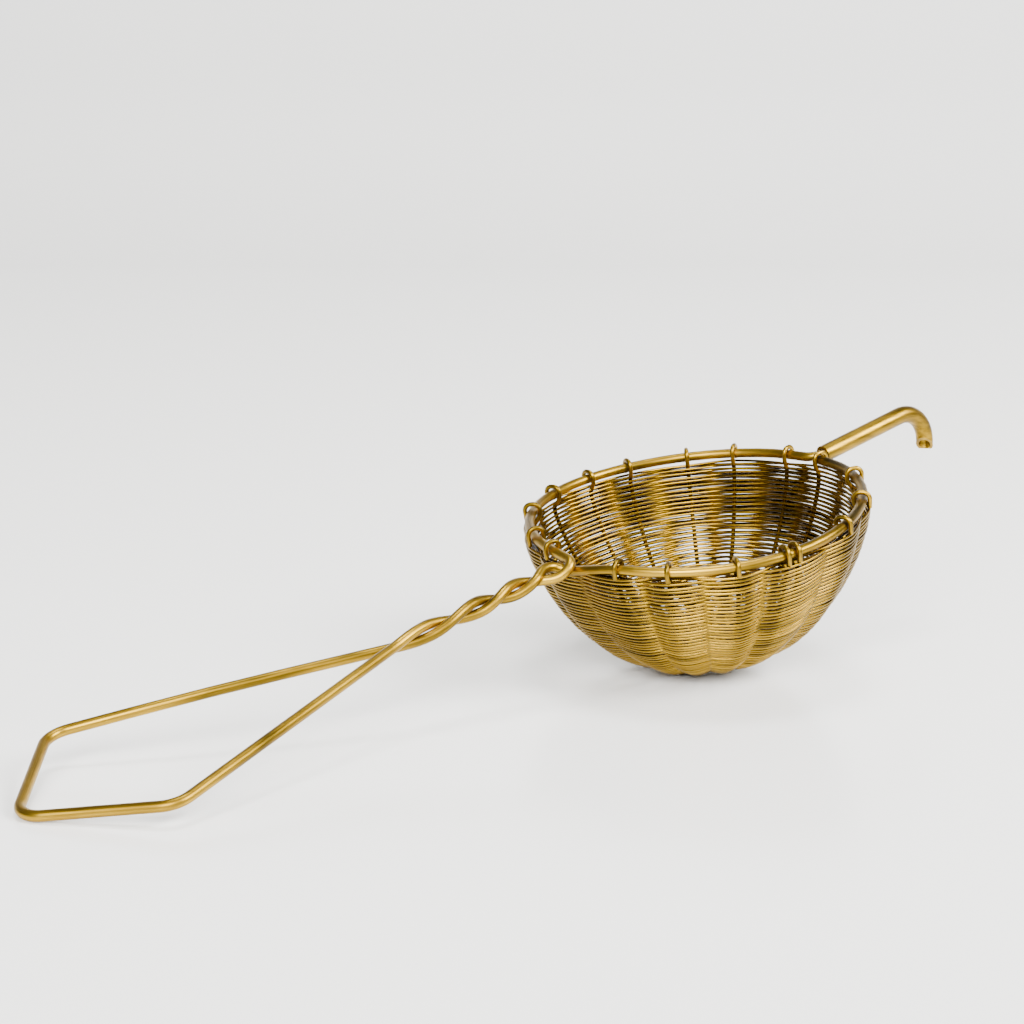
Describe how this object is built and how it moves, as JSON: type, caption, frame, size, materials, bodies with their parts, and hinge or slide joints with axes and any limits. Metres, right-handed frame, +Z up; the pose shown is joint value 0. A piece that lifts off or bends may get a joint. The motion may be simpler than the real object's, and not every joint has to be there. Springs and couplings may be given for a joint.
{
  "type": "tea strainer",
  "caption": "Hand-woven brass wire tea strainer: a deep round basket on a wire rim, with a long twisted wire handle and a cup hook.",
  "frame": {"origin": "centre of the strainer's footprint, on the table it rests on", "axes": "+X from the handle towards the cup hook, +Z up out of the basket, +Y to the left when looking along +X"},
  "size_m": [0.2198, 0.0714, 0.0483],
  "materials": {
    "frame_brass": "satin, darkened with age",
    "stake_brass": "satin, darkened with age",
    "weave_brass": "satin, darkened with age"
  },
  "bodies": {
    "root": {"frame_wire": "frame_brass", "hook_tube": "frame_brass", "stake_wire_1": "stake_brass", "stake_wire_2": "stake_brass", "stake_wire_3": "stake_brass", "stake_wire_4": "stake_brass", "stake_wire_5": "stake_brass", "stake_wire_6": "stake_brass", "stake_wire_7": "stake_brass", "stake_wire_8": "stake_brass", "stake_wire_9": "stake_brass", "woven_wall": "weave_brass"}
  },
  "joints": []
}
